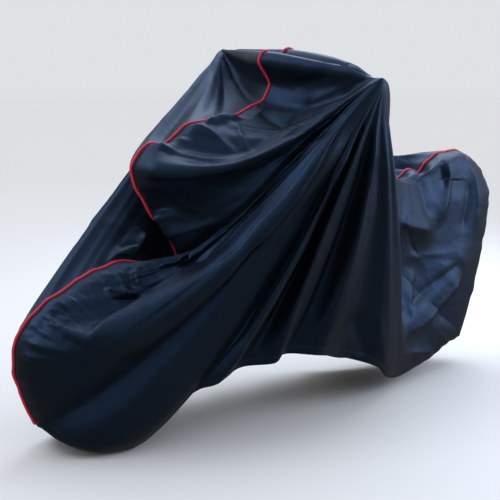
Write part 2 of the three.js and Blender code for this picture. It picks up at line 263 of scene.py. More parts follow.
# Creases: a curve through three points on the cloth, its half width on the upper and the lower side,
# its height (below zero for a trough) and how sharp its edge is (1 crisp, 2 soft)
CREASE = "name x1 y1 z1 x2 y2 z2 x3 y3 z3 upper lower height sharp"
LEFT_CREASES = table(
    CREASE,
    ("band valley", 16, -399, 1117, -363, -186, 695, -856, -147, 370, 46, 12, -14, 1.1),
    ("band edge", -60, -378, 1000, -232, -293, 820, -485, -190, 575, 9, 50, 12, 1.1),
    ("band ridge upper", -77, -377, 958, -257, -323, 770, -419, -272, 606, 64, 24, 14, 1.2),
    ("band ridge lower", -373, -293, 640, -571, -218, 494, -909, -116, 297, 60, 24, 14, 1.2),
    ("pocket roll", -467, -25, 635, -440, -95, 673, -389, -167, 707, 13, 22, 14, 1.2),
    ("pocket roll trough", -516, -113, 600, -490, -170, 591, -440, -199, 615, 13, 13, -8, 1.2),
    ("pocket side", -509, -40, 690, -520, -60, 640, -553, -90, 589, 12, 12, -9, 1.2),
    ("fan valley 2", -66, -373, 916, -305, -317, 598, -593, -244, 246, 30, 30, -6, 1.4),
    ("fan ridge 2", -43, -371, 915, -167, -323, 672, -378, -263, 322, 12, 10, 7, 1.1),
    ("fan valley 3", -18, -366, 914, -132, -320, 660, -228, -229, 304, 20, 14, -6, 1.3),
    ("fan ridge 3", -8, -382, 899, -74, -308, 678, -235, -227, 292, 9, 30, 7, 1.1),
    ("fan valley 4", 52, -372, 912, -1, -308, 614, -93, -238, 289, 22, 20, -6, 1.3),
    ("fan ridge 4", 70, -368, 832, 54, -300, 585, -97, -234, 262, 9, 16, 7, 1.1),
    ("low ridge", -364, -265, 349, -426, -242, 285, -488, -218, 217, 12, 12, 7, 1.3),
    ("low trough", -297, -242, 360, -342, -224, 299, -387, -206, 231, 12, 12, -8, 1.3),
    ("lobe pleat 1", -928, -39, 432, -883, -95, 410, -837, -154, 386, 12, 18, 12, 1.2),
    ("lobe trough 1", -902, -100, 396, -879, -124, 383, -856, -147, 370, 10, 10, -9, 1.2),
    ("lobe pleat 2", -972, -36, 382, -929, -97, 371, -877, -136, 353, 12, 16, 11, 1.2),
    ("lobe pleat 3", -996, -18, 346, -956, -88, 343, -900, -124, 330, 12, 16, 10, 1.2),
    ("lobe tuck", -901, -42, 450, -882, -56, 453, -863, -67, 446, 8, 8, -5, 1.2),
    ("lobe shelf", -470, -180, 590, -666, -150, 475, -890, -130, 360, 9, 55, 20, 1.1),
    ("lobe shelf trough", -560, -140, 545, -690, -125, 485, -860, -120, 395, 26, 12, -12, 1.2),
    ("lobe hollow", -912, -116, 319, -810, -158, 323, -675, -178, 330, 30, 40, -8, 1.8),
    ("crown pleat", -748, -62, 508, -699, -83, 500, -650, -111, 486, 10, 12, 12, 1.2),
    ("crown trough", -741, -79, 483, -682, -101, 480, -628, -131, 487, 10, 10, -10, 1.2),
    ("crown dent", -651, -47, 562, -660, -75, 533, -664, -93, 506, 12, 12, -10, 1.3),
    ("crown rib", -623, -54, 566, -636, -81, 538, -643, -99, 511, 12, 12, 9, 1.2),
    ("nose shelf edge", -596, -22, 862, -501, -137, 845, -330, -222, 872, 44, 14, 18, 1.1),
    ("nose shelf back", -379, -198, 852, -261, -243, 892, -184, -291, 962, 40, 20, 9, 1.2),
    ("nose crest", -438, -11, 961, -368, -52, 970, -319, -182, 894, 14, 26, 16, 1.1),
    ("nose hollow", -548, -40, 905, -460, -111, 893, -358, -201, 876, 30, 30, -15, 1.3),
    ("bowl floor", -290, -165, 915, -150, -150, 985, -60, -170, 1050, 24, 24, -7, 1.4),
    ("roll edge", -325, -227, 882, -127, -220, 985, 7, -310, 1108, 32, 13, 9, 1.05),
    ("facet edge", -253, -46, 992, -273, -108, 951, -279, -153, 906, 12, 12, 8, 1.1),
    ("bowl fold front", -155, -38, 1022, -142, -84, 1004, -136, -156, 980, 12, 12, -8, 1.1),
    ("bowl fold back", -136, -156, 980, -72, -147, 1023, -35, -171, 1067, 12, 14, -8, 1.1),
    ("roll tip", -52, -142, 1048, -13, -238, 1090, 13, -345, 1130, 16, 16, 7, 1.2),
    ("bar ridge", -95, -8, 1217, -30, -130, 1195, 16, -261, 1170, 10, 10, 8, 1.05),
    ("bar hollow", -60, -84, 1112, -25, -170, 1135, 18, -259, 1164, 16, 16, -8, 1.2),
    ("tongue groove", 662, -66, 828, 681, -80, 775, 688, -84, 712, 18, 18, -8, 1.4),
    ("tongue valley", 568, -86, 782, 562, -96, 702, 583, -104, 612, 22, 22, -8, 1.5),
    ("tongue ridge", 690, -52, 836, 702, -84, 722, 626, -97, 572, 40, 13, 16, 1.1),
    ("shelf edge", 395, -150, 630, 465, -129, 606, 617, -98, 575, 60, 15, 18, 1.2),
    ("side valley", 829, -77, 752, 810, -83, 658, 784, -87, 544, 20, 20, -9, 1.3),
    ("side ridge", 819, -62, 829, 873, -76, 711, 862, -79, 532, 24, 24, 10, 1.2),
    ("shelf crease", 424, -139, 615, 482, -114, 548, 530, -100, 490, 9, 9, -5, 1.2),
    ("tail arch", 439, -113, 501, 604, -94, 485, 756, -94, 489, 16, 24, 5, 1.2),
    ("strip edge", 520, -101, 450, 484, -125, 356, 454, -142, 274, 40, 10, 12, 1.1),
    ("slash ridge", 793, -90, 415, 638, -101, 287, 400, -185, 205, 60, 12, 30, 1.1),
    ("slash trough", 791, -91, 455, 601, -113, 372, 400, -175, 300, 22, 22, -14, 1.2),
    ("tail corner", 380, -188, 152, 536, -123, 126, 644, -103, 99, 30, 18, 10, 1.1),
    ("curtain hollow", 49, -281, 384, 119, -246, 282, 175, -217, 193, 30, 30, -14, 1.5),
    ("curtain side", 173, -259, 363, 204, -254, 253, 254, -225, 146, 20, 20, 6, 1.4),
)
RIGHT_CREASES = table(
    CREASE,
    ("pocket facet", -700, 12, 569, -612, 28, 600, -515, 50, 640, 24, 40, 16, 1.5),
    ("pocket crumple", -640, 40, 600, -600, 42, 612, -545, 40, 612, 9, 9, -8, 1.2),
    ("pocket rib", -590, 20, 590, -560, 40, 622, -520, 60, 650, 9, 12, 9, 1.1),
    ("peak trough", -45, 320, 1215, -48, 274, 1185, -60, 179, 1126, 10, 14, -8, 1.2),
)
# Steps along a crease, the share of it that fades at each end, how deep it acts and its reach in widths
CREASE_STEPS = 12
CREASE_FADE = 0.25
CREASE_DEPTH = 90.0
CREASE_REACH = 3

# Small waves along the sewn seam: length, height and start of each, and how near the seam's ends they fade
SEAM_WAVES = table("length height start", (131, 1.8, 0.3), (83, 1.2, 1.1), (59, 0.6, 2.0))
SEAM_WAVE_FADE = 60.0

# Piping: mesh rings and sides of the cord, and how far it stands proud of the seam
PIPING_RINGS = 1400
PIPING_SIDES = 12
PIPING_PROUD = 3.0
# How far round the cord shows before its tape turns in, the sewn foot of the tape under the panels' edges,
# and the puckers that make the cord uneven, in shares of its radius
PIPING_TURN = 2.44
PIPING_FOOT = {"half": 5.9, "top": -2.9, "bottom": -3.7}
PIPING_PUCKERS = table("length height start", (34, 0.05, 0.0), (91, 0.04, 1.3))

# Wrinkles: crisp small folds that come and go in patches, in families with one direction each.
# Directions lean less across the cover, and each family sways over three of its spacings.
WRINKLE_FAMILIES = 9
WRINKLE_LEAN = (1.0, 0.6, 1.0)
WRINKLE_SPACING = (60.0, 170.0)
WRINKLE_SWAY = 0.6
WRINKLE_SWAY_SPACINGS = 3
WRINKLE_PATCH = (260.0, 520.0)
WRINKLE_PATCH_EDGE = (0.1, 1.2)
WRINKLE_HEIGHT = 2.8
WRINKLE_BASE = 0.3
# Average of a row of crisp ridges of height 1
RIDGE_AVERAGE = 0.227
# Places where the cloth is crumpled more: middle, radius and how much more
LEFT_ZONES = table(
    "name x y z radius more",
    ("bowl", -230, -120, 960, 170, 1.0),
    ("nose shelf", -430, -110, 900, 130, 0.6),
    ("lobe pleats", -850, -80, 430, 150, 1.2),
    ("crown", -640, -90, 520, 120, 1.3),
    ("band", -300, -270, 760, 190, 0.7),
    ("tail", 600, -110, 600, 260, 0.4),
    ("tail low", 560, -120, 260, 220, 0.3),
    ("top", -10, -150, 1170, 130, 0.5),
)
RIGHT_ZONES = table(
    "name x y z radius more",
    ("pocket", -520, 70, 620, 150, 1.2),
    ("peak face", -80, 200, 1150, 160, 0.6),
    ("tail", 600, 110, 600, 280, 1.0),
    ("lobe", -800, 110, 400, 220, 0.7),
    ("side", -200, 290, 700, 300, 0.5),
)

# Wrinkles pulled from a peak towards the rim: length between two at the rim, height and where they start
PULLED_WRINKLES = table("length height start", (190, 0.5, 0.4), (117, 0.35, 2.1))
# Shares of the way where they fade in and out, and how much of them shows towards the hem
PULLED_FROM = (0.06, 0.3)
PULLED_TO = (0.55, 0.95)
PULLED_AT_HEM = 0.4
# How they bend on the way and along the rim, and the lengths by which they come and go along the rim
PULLED_BEND = {"turn": 0.7, "way": 3.0, "rim": 400.0}
PULLED_PATCHES = (210.0, 330.0)

# Pleats that run off the seam: their middle, the direction from one to the next, spacing, height and radius
PLEATS = table(
    "name x y z dx dz spacing height radius",
    ("lobe front", -960, -60, 400, 0.6, 0.8, 37, 9.0, 80),
    ("lobe top", -880, -60, 460, 0.83, 0.55, 31, 10.0, 80),
    ("crown", -690, -60, 535, 0.97, 0.2, 38, 9.0, 85),
    ("chin", -500, -60, 690, 0.5, 0.86, 38, 6.5, 70),
)
# Their sway from one to the next, and on the way off the seam
PLEAT_SWAY = {"turn": 0.9, "run": 61.0, "off_turn": 0.7, "off": 37.0, "off_run": 90.0}

# Gathers beside the seam and along the hem: length of one, height and how far they reach
SEAM_GATHERS = {"length": 47.0, "height": 1.6, "reach": 34.0}
HEM_GATHERS = {"length": 74.0, "height": 2.2, "reach": 60.0}
# Their uneven spacing, the middle share of their height, and how fast the height comes and goes
GATHER_SWAY = 1.3
GATHER_MIDDLE = 0.6
GATHER_PACE = 0.37

# Lips of the left cloth that hide the seam: between two places in seam rows, how far off it, and the shift
SEAM_LIPS = table(
    "name first last off x y z",
    ("brow lip", 12.0, 13.5, 24, -8, -4, 14),
    ("bowl lip", 14.1, 15.2, 20, -4, -6, 22),
    ("chin lip", 7.4, 9.2, 26, -66, -14, 4),
)

# Creases die out this close to the rim, and gathers this close to the seam
RIM_CALM = 26.0
SEAM_CALM = 9.0

# Hem: its folded edge stands proud of the cloth, behind a stitched groove with a depth and a half width
HEM_PROUD = 0.9
HEM_GROOVE = 0.7
HEM_GROOVE_WIDTH = 3.0

# Cloth close to a peak: rounded tip, and shares of the way to the rim where its folds begin
PEAK_CAP_DEPTH = 9.0
PEAK_CAP_DROP = 4.5
PEAK_CAP_SHARE = 0.05
PEAK_EASE = 0.3
SOFT_RIM_REACH = 0.3
SOFT_RIM_STEPS = 2

# Swell beside the rim: how late it begins, how sharply it rounds over to the rim, and its tallest value
SWELL_START = 2
SWELL_ROUNDING = 6
SWELL_TALLEST = 0.66

# Mesh of a panel: columns along seam and hem, rings from the peak, and rings at set distances from the rim
SEAM_COLUMNS = 448
HEM_COLUMNS = 192
COARSE_RINGS = 10
MIDDLE_RINGS = 16
FINE_RINGS = 58
RING_CROWDING = 0.4
EDGE_ROWS = (34.0, 24.0, 20.0, 4.0, 0.0)

# Stitches of the hem: how far their row lies from the edge, its half width, from one to the next,
# and the share of that which a stitch fills
STITCHES = {"off": 23.0, "half": 0.9, "pitch": 8.0, "share": 0.68}

# Sizes of the patterns on the cloth and the piping, in millimetres
DUST_SIZE = 167.0
CRINKLE_SIZE = 29.4
RIPPLE_SIZE = 38.5
GRAIN_SIZE = 5.26
FADE_SIZE = 111.0
RIB_SPACING = 6.0

# The panels: side of the seam, peak, over how many rows the rim is softened near the peak, tables and seed
LEFT = {
    "name": "left_panel", "node": "panel_left", "sign": -1, "peak": (40, -425, 1134), "soft_rows": 5.0,
    "hem": LEFT_HEM, "drape": LEFT_DRAPE, "creases": LEFT_CREASES, "zones": LEFT_ZONES, "seed": 11,
}
RIGHT = {
    "name": "right_panel", "node": "panel_right", "sign": 1, "peak": (-32, 356, 1241), "soft_rows": 2.0,
    "hem": RIGHT_HEM, "drape": RIGHT_DRAPE, "creases": RIGHT_CREASES, "zones": RIGHT_ZONES, "seed": 23,
}

# Studio in metres and watts: the floor and how far it lies below the cover, where camera and lights aim,
# and where the camera stands in degrees from the left side and above the level
FLOOR_SIZE = 120.0
FLOOR_GAP = 0.004
TARGET = Vector((-0.11, 0.0, -0.619))
CAMERA_AZIMUTH = -36.0
CAMERA_ELEVATION = 9.43
SENSOR_WIDTH = 36.0
LIGHTS = table(
    "name x y z size power tint",
    ("overhead", 1.9, 1.0, 2.2, 3.2, 112, "#d3e3ff"),
    ("tail_side", 2.9, -2.0, 0.3, 2.1, 78, "#c8dcff"),
    ("front_high", -2.3, 0.85, 1.6, 1.6, 30, "#dbe6ff"),
)

# Surroundings: directions, and shares that ease from one value to another along a direction
SKY_WAYS = {"height": (0.0, 0.0, 1.0), "behind": (0.59, 0.81, 0.0), "aside": (0.033, -0.373, 0.927)}
SKY = table(
    "name along start end first last",
    ("near", "height", 0.12, 0.75, 0.25, 1.3),
    ("shade", "aside", 0.87, 0.985, 1.0, 0.3),
    ("far", "behind", 0.35, 0.9, 0.0, 1.0),
    ("white", "height", -0.14, 0.0, 0.1, 0.82),
    ("upper", "height", 0.1, 0.45, 0.0, 1.0),
)
SKY_TINTS = {"low": "#f6ece0", "high": "#e2ecff", "behind": "#f4f6fa"}

# Settings of nodes that come up more than once, and the sockets of two colours and of their mix
EASED = {"interpolation_type": "SMOOTHSTEP"}
COLOUR_MIX = {"data_type": "RGBA"}
COLOUR_LOW, COLOUR_HIGH, COLOUR_MIXED = 6, 7, 2

# Steps between two points of a smooth curve when its length is measured
CURVE_STEPS = 40


def smoothstep(value, low, high):
    """Eased share of the way from low to high."""
    share = np.clip((value - low) / (high - low), 0.0, 1.0)
    return share * share * (3.0 - 2.0 * share)


def spot(row):
    """Place that a table row gives."""
    return np.array([row[axis] for axis in "xyz"], float)


def waves(rows, length):
    """Sum of a table's waves at lengths along a line."""
    return sum(row["height"] * np.sin(2 * np.pi * length / row["length"] + row["start"]) for row in rows)


def curve_through(points, places):
    """Points on a smooth curve through the given points, at places counted in points."""
    points = np.asarray(points, float)
    padded = np.vstack([2 * points[0] - points[1], points, 2 * points[-1] - points[-2]])
    start = np.minimum(np.floor(places).astype(int), len(points) - 2)
    share = (places - start)[:, None]
    before, first, second, after = (padded[start + step] for step in range(4))
    slope_in = (second - before) / 2
    slope_out = (after - first) / 2
    cubic = 2 * first - 2 * second + slope_in + slope_out
    square = 3 * second - 3 * first - 2 * slope_in - slope_out
    return cubic * share**3 + square * share**2 + slope_in * share + first


def even_places(points, count, closeness=1.0):
    """Places on a smooth curve, even in length or closer where asked, without the last point."""
    fine = np.linspace(0, len(points) - 1, CURVE_STEPS * (len(points) - 1) + 1)
    steps = np.linalg.norm(np.diff(curve_through(points, fine), axis=0), axis=1)
    steps = steps * np.interp(fine[1:], np.arange(len(points)), closeness * np.ones(len(points)))
    lengths = np.concatenate([[0.0], np.cumsum(steps)])
    return np.interp(np.linspace(0, lengths[-1], count + 1)[:-1], lengths, fine)


def seam_points(offset=0.0):
    """Points of the centre seam, moved sideways."""
    return np.array([(row["x"], offset, row["z"]) for row in SEAM], float)


def seam_line(count, offset=0.0):
    """Points along the waved seam, their places in rows, the direction off it and the length so far."""
    rows = seam_points(offset)
    places = even_places(rows, count, np.array([row["fine"] for row in SEAM]))
    line = curve_through(rows, places)
    run = np.gradient(line, axis=0)
    run /= np.linalg.norm(run, axis=1, keepdims=True)
    off = np.stack([-run[:, 2], np.zeros(count), run[:, 0]], axis=1)
    steps = np.linalg.norm(np.diff(line, axis=0), axis=1)
    length = np.concatenate([[0.0], np.cumsum(steps)])
    ends = smoothstep(np.minimum(length, length[-1] - length), 0, SEAM_WAVE_FADE)
    wave = waves(SEAM_WAVES, length) * ends
    return line + off * wave[:, None], places, off, length


def rim_of(side, edge):
    """The panel's rim up the seam and back along the hem, also softened, its places and which are hem."""
    seam = seam_points(side["sign"] * edge)
    hem = np.vstack([seam[-1], [spot(row) for row in side["hem"]], seam[0]])
    seam_rim, seam_places, _, _ = seam_line(SEAM_COLUMNS, side["sign"] * edge)
    hem_places = even_places(hem, HEM_COLUMNS)
    points = np.vstack([seam_rim, curve_through(hem, hem_places)])
    places = np.concatenate([seam_places, hem_places + len(seam) - 1])
    on_hem = np.arange(len(places)) >= SEAM_COLUMNS
    steps = SOFT_RIM_STEPS
    seam_even = np.arange((len(seam) - 1) * steps) / steps
    hem_even = np.arange((len(hem) - 1) * steps) / steps
    even = np.vstack([curve_through(seam, seam_even), curve_through(hem, hem_even)])
    even_at = np.concatenate([seam_even, hem_even + len(seam) - 1])
    row_count = len(SEAM) + len(side["hem"])
    apart = np.abs(places[:, None] - even_at[None, :])
    weights = np.exp(-((np.minimum(apart, row_count - apart) / side["soft_rows"]) ** 2))
    soft = weights @ even / weights.sum(1, keepdims=True)
    return points, soft, places, on_hem


def drape_at(side, places):
    """Drape values at places on the rim, smooth through the table rows and level at ridges and valleys."""
    names = [row["name"] for row in SEAM + side["hem"]]
    rows = side["drape"]
    order = [-1, *range(len(rows)), 0, 1]
    stops = np.array([names.index(rows[index]["rim"]) for index in order], float)
    stops[0] -= len(names)
    stops[-2:] += len(names)
    before = np.searchsorted(stops, places, side="right") - 1
    gap = stops[before + 1] - stops[before]
    share = (places - stops[before]) / gap
    values = {}
    for column in ("sag", "aft", "tuck", "out", "share"):
        level = np.array([rows[index][column] for index in order], float)
        rise = np.diff(level) / np.diff(stops)
        product = rise[:-1] * rise[1:]
        slope = np.zeros(len(level))
        slope[1:-1] = np.where(product > 0, 2 * product / np.where(product > 0, rise[:-1] + rise[1:], 1), 0)
        start, end = slope[before] * gap, slope[before + 1] * gap
        climb = level[before + 1] - level[before]
        square, cubic = 3 * climb - 2 * start - end, start + end - 2 * climb
        values[column] = level[before] + share * (start + share * (square + share * cubic))
    return values


def cross_fold_lift(x, z):
    """How far the broad cross folds lift the sheet at places in the side view."""
    lift = np.zeros_like(x)
    for fold in CROSS_FOLDS:
        run, rise = fold["x2"] - fold["x1"], fold["z2"] - fold["z1"]
        share = np.clip(((x - fold["x1"]) * run + (z - fold["z1"]) * rise) / (run**2 + rise**2), 0, 1)
        distance = np.hypot(x - fold["x1"] - share * run, z - fold["z1"] - share * rise)
        lift += fold["height"] * np.exp(-((distance / fold["width"]) ** 2))
    return lift


def crease_lift(crease, spots, facing):
    """How far one crease lifts the sheet at spots near it, measured along the cloth."""
    ends = np.array([[crease[axis + str(number)] for axis in "xyz"] for number in (1, 2, 3)], float)
    bend = 2 * ends[1] - (ends[0] + ends[2]) / 2
    share = np.linspace(0, 1, CREASE_STEPS + 1)[:, None]
    line = (1 - share) ** 2 * ends[0] + 2 * share * (1 - share) * bend + share**2 * ends[2]
    reach = CREASE_REACH * max(crease["upper"], crease["lower"]) + CREASE_DEPTH / 2
    near = np.all((spots > line.min(0) - reach) & (spots < line.max(0) + reach), axis=-1)
    lift = np.zeros(spots.shape[:2])
    close, off = spots[near], facing[near]
    nearest = np.full(len(close), np.inf)
    signed, along, depth, flat = np.zeros((4, len(close)))
    for index in range(CREASE_STEPS):
        step = line[index + 1] - line[index]
        offset = close - line[index]
        part = np.clip(offset @ step / (step @ step), 0, 1)
        gap = offset - part[:, None] * step
        distance = np.linalg.norm(gap, axis=1)
        closer = distance < nearest
        nearest = np.where(closer, distance, nearest)
        rise = np.sum(gap * off, axis=1)
        depth = np.where(closer, rise, depth)
        flat = np.where(closer, np.sqrt(np.maximum(distance**2 - rise**2, 0)), flat)
        above = np.cross(off, step)
        above *= np.where(above[:, 2:3] < 0, -1.0, 1.0)
        signed = np.where(closer, np.sum(gap * above, axis=1), signed)
        along = np.where(closer, (index + part) / CREASE_STEPS, along)
    half = np.where(signed > 0, crease["upper"], crease["lower"])
    taper = smoothstep(along, 0, CREASE_FADE) * smoothstep(1 - along, 0, CREASE_FADE)
    taper *= 1 - smoothstep(np.abs(depth), CREASE_DEPTH / 2, CREASE_DEPTH)
    lift[near] = crease["height"] * taper * np.exp(-((flat / half) ** crease["sharp"]))
    return lift


def outward(grid, sign):
    """Unit directions off the sheet, away from the inside of the cover."""
    across = np.roll(grid, -1, axis=1) - np.roll(grid, 1, axis=1)
    along = np.gradient(grid, axis=0)
    facing = np.cross(along, across) * sign
    return facing / np.maximum(np.linalg.norm(facing, axis=-1, keepdims=True), 1e-9)


def sheet_grid(side, edge):
    """The draped sheet as rings of points from the peak to the rim, with its tip and its rim's measures."""
    rim, soft, places, on_hem = rim_of(side, edge)
    drape = drape_at(side, places)
    peak = np.array(side["peak"], float)
    spoke = np.linalg.norm(rim - peak, axis=1)
    rings = COARSE_RINGS + MIDDLE_RINGS + FINE_RINGS
    step = np.arange(1, rings + 1)[:, None] / (rings + 1)
    inner = step * (1 + RING_CROWDING - RING_CROWDING * step)
    last = 1 - EDGE_ROWS[0] / spoke
    outer = 1 - np.array(EDGE_ROWS)[:, None] / spoke
    way = np.vstack([inner * last, outer])
    goal = soft + (rim - soft) * smoothstep(way, 0, SOFT_RIM_REACH)[..., None]
    grid = peak + (goal - peak) * way[..., None]
    sling = smoothstep(way, 0, PEAK_EASE) * np.sin(np.pi * way ** (math.log(0.5) / np.log(drape["share"])))
    swell = way**SWELL_START * np.sqrt(np.maximum(0, 1 - way**SWELL_ROUNDING)) / SWELL_TALLEST
    cap = np.maximum(0, 1 - way / PEAK_CAP_SHARE) ** 2
    grid[..., 0] += drape["aft"] * sling
    grid[..., 1] += side["sign"] * (drape["out"] * swell - drape["tuck"] * sling - PEAK_CAP_DEPTH * cap)
    grid[..., 2] -= drape["sag"] * sling + PEAK_CAP_DROP * cap
    lift = cross_fold_lift(grid[..., 0], grid[..., 2])
    grid[..., 1] += side["sign"] * lift * (1 - way**FOLD_RIM_FADE)
    tip = peak - np.array((0, side["sign"] * PEAK_CAP_DEPTH, PEAK_CAP_DROP))
    steps = np.linalg.norm(np.roll(rim, -1, axis=0) - rim, axis=1)
    rim_length = np.concatenate([[0.0], np.cumsum(steps)[:-1]])
    return {
        "grid": grid, "way": way, "places": places, "on_hem": on_hem, "spoke": spoke, "tip": tip,
        "rim_length": rim_length,
    }


def ridge_wave(phase):
    """A row of narrow crisp ridges, one for each half turn of the phase, about zero on average."""
    return (1 - np.abs(np.sin(phase))) ** 2 - RIDGE_AVERAGE


def wrinkle_lift(side, spots):
    """Small crisp wrinkles in patches, more of them in the panel's crumpled zones."""
    random = np.random.default_rng(side["seed"])
    much = np.full(spots.shape[:2], WRINKLE_BASE)
    for zone in side["zones"]:
        distance = np.linalg.norm(spots - spot(zone), axis=-1)
        much += zone["more"] * np.exp(-((distance / zone["radius"]) ** 2))
    lift = np.zeros(spots.shape[:2])
    for family in range(WRINKLE_FAMILIES):
        ways = random.normal(size=(4, 3)) * WRINKLE_LEAN
        ways /= np.linalg.norm(ways, axis=1, keepdims=True)
        starts = random.uniform(0, 2 * np.pi, 4)
        spacing = random.uniform(*WRINKLE_SPACING)
        patch = random.uniform(*WRINKLE_PATCH)
        sway = np.sin(2 * np.pi * (spots @ ways[1]) / (WRINKLE_SWAY_SPACINGS * spacing) + starts[1])
        ridges = ridge_wave(np.pi * (spots @ ways[0]) / spacing + starts[0] + WRINKLE_SWAY * sway)
        patches = np.sin(2 * np.pi * (spots @ ways[2]) / patch + starts[2])
        patches += np.sin(2 * np.pi * (spots @ ways[3]) / patch + starts[3])
        sense = 1 if family % 2 else -1
        tall = sense * WRINKLE_HEIGHT * (spacing / WRINKLE_SPACING[1])
        lift += tall * ridges * smoothstep(patches, *WRINKLE_PATCH_EDGE)
    return lift * much


def pleat_lift(spots):
    """Short crisp pleats that run off the seam where the cloth is gathered over the lobe."""
    lift = np.zeros(spots.shape[:2])
    for row in PLEATS:
        distance = np.linalg.norm(spots - spot(row), axis=-1)
        run = spots[..., 0] * row["dx"] + spots[..., 2] * row["dz"]
        off = spots[..., 1] / PLEAT_SWAY["off"] + run / PLEAT_SWAY["off_run"]
        sway = PLEAT_SWAY["turn"] * np.sin(run / PLEAT_SWAY["run"]) + PLEAT_SWAY["off_turn"] * np.sin(off)
        fade = np.exp(-((distance / row["radius"]) ** 2))
        lift += row["height"] * ridge_wave(np.pi * run / row["spacing"] + sway) * fade
    return lift


def pulled_lift(side, sheet):
    """Long shallow wrinkles that run from the peak towards the rim."""
    way, rim_length = sheet["way"], sheet["rim_length"]
    lift = np.zeros(way.shape)
    bend = np.sin(PULLED_BEND["way"] * way + rim_length / PULLED_BEND["rim"] + side["seed"])
    bend *= PULLED_BEND["turn"]
    for row in PULLED_WRINKLES:
        lift += row["height"] * ridge_wave(np.pi * rim_length / row["length"] + row["start"] + bend)
    first, second = PULLED_PATCHES
    patches = 0.5 + 0.5 * np.sin(rim_length / first + side["seed"]) * np.sin(rim_length / second)
    patches = patches * np.where(sheet["on_hem"], PULLED_AT_HEM, 1.0)
    return lift * patches * smoothstep(way, *PULLED_FROM) * (1 - smoothstep(way, *PULLED_TO))


def gather_lift(sheet, distance):
    """Gathers beside the sewn seam and along the hem."""
    lift = np.zeros(distance.shape)
    for gathers, chosen in ((SEAM_GATHERS, ~sheet["on_hem"]), (HEM_GATHERS, sheet["on_hem"])):
        along = sheet["rim_length"] / gathers["length"]
        wave = np.sin(2 * np.pi * along + GATHER_SWAY * np.sin(along))
        wave *= GATHER_MIDDLE + (1 - GATHER_MIDDLE) * np.sin(GATHER_PACE * along)
        lift += chosen * gathers["height"] * wave * np.exp(-distance / gathers["reach"])
    return lift


def lip_shift(sheet, distance):
    """Lips of cloth that stand up beside the seam and hide it from the side."""
    shift = np.zeros(sheet["grid"].shape)
    for lip in SEAM_LIPS:
        middle, half = (lip["first"] + lip["last"]) / 2, (lip["last"] - lip["first"]) / 2
        along = 1 - smoothstep(np.abs(sheet["places"] - middle), 0.5 * half, half)
        off = np.exp(-(((distance - lip["off"]) / lip["off"]) ** 2))
        share = along * off * smoothstep(distance, 0, SEAM_CALM)
        shift += share[..., None] * spot(lip)
    return shift


def hem_lift(sheet, distance):
    """The folded hem, proud of the cloth behind its stitched groove."""
    groove = EDGE_ROWS[1]
    fold = smoothstep(groove - distance, 0, groove - EDGE_ROWS[2]) * HEM_PROUD
    fold -= np.exp(-(((distance - groove) / HEM_GROOVE_WIDTH) ** 2)) * HEM_GROOVE
    return np.where(sheet["on_hem"], fold, 0.0)


def add_detail(side, sheet, edge):
    """Creases, wrinkles, gathers and the hem, on top of the draped sheet."""
    grid, way = sheet["grid"], sheet["way"]
    distance = (1 - way) * sheet["spoke"]
    facing = outward(grid, side["sign"])
    lift = wrinkle_lift(side, grid) + pulled_lift(side, sheet)
    for crease in side["creases"]:
        lift += crease_lift(crease, grid, facing)
    lift *= smoothstep(distance, 0, RIM_CALM)
    if side["sign"] < 0:
        lift += pleat_lift(grid) * smoothstep(distance, SEAM_CALM, RIM_CALM)
    lift += gather_lift(sheet, distance) * smoothstep(distance, 0, SEAM_CALM)
    lift += hem_lift(sheet, distance)
    grid += facing * lift[..., None]
    if side["sign"] < 0:
        grid += lip_shift(sheet, distance)
    grid[..., 1] = side["sign"] * np.maximum(edge, side["sign"] * grid[..., 1])


def panel_faces(columns):
    """Faces of a panel: a fan at the tip, then rings whose columns double twice."""
    counts = [columns // 4] * COARSE_RINGS + [columns // 2] * MIDDLE_RINGS
    counts += [columns] * (FINE_RINGS + len(EDGE_ROWS))
    starts = np.concatenate([[1], 1 + np.cumsum(counts)])
    faces = []
    first = counts[0]
    for column in range(first):
        faces.append((0, 1 + column, 1 + (column + 1) % first))
    for ring in range(len(counts) - 1):
        here, there = counts[ring], counts[ring + 1]
        base, beyond = starts[ring], starts[ring + 1]
        for column in range(here):
            near, near_next = base + column, base + (column + 1) % here
            if here == there:
                faces.append((near, beyond + column, beyond + (column + 1) % there, near_next))
            else:
                far = [beyond + (2 * column + step) % there for step in range(3)]
                faces.append((near, far[0], far[1]))
                faces.append((near, far[1], near_next))
                faces.append((near_next, far[1], far[2]))
    return counts, faces


def link_object(name, data):
    """A new object in the scene with the given data."""
    made = bpy.data.objects.new(name, data)
    bpy.context.scene.collection.objects.link(made)
    return made


def mesh_object(name, points, faces, values):
    """A smooth mesh in metres from points in millimetres, with named values at its points."""
    mesh = bpy.data.meshes.new(name)
    mesh.from_pydata(((points - MOUNT) * MM).tolist(), [], faces)
    for attribute, numbers in values.items():
        mesh.attributes.new(attribute, "FLOAT", "POINT").data.foreach_set("value", numbers)
    mesh.shade_smooth()
    return link_object(name, mesh)


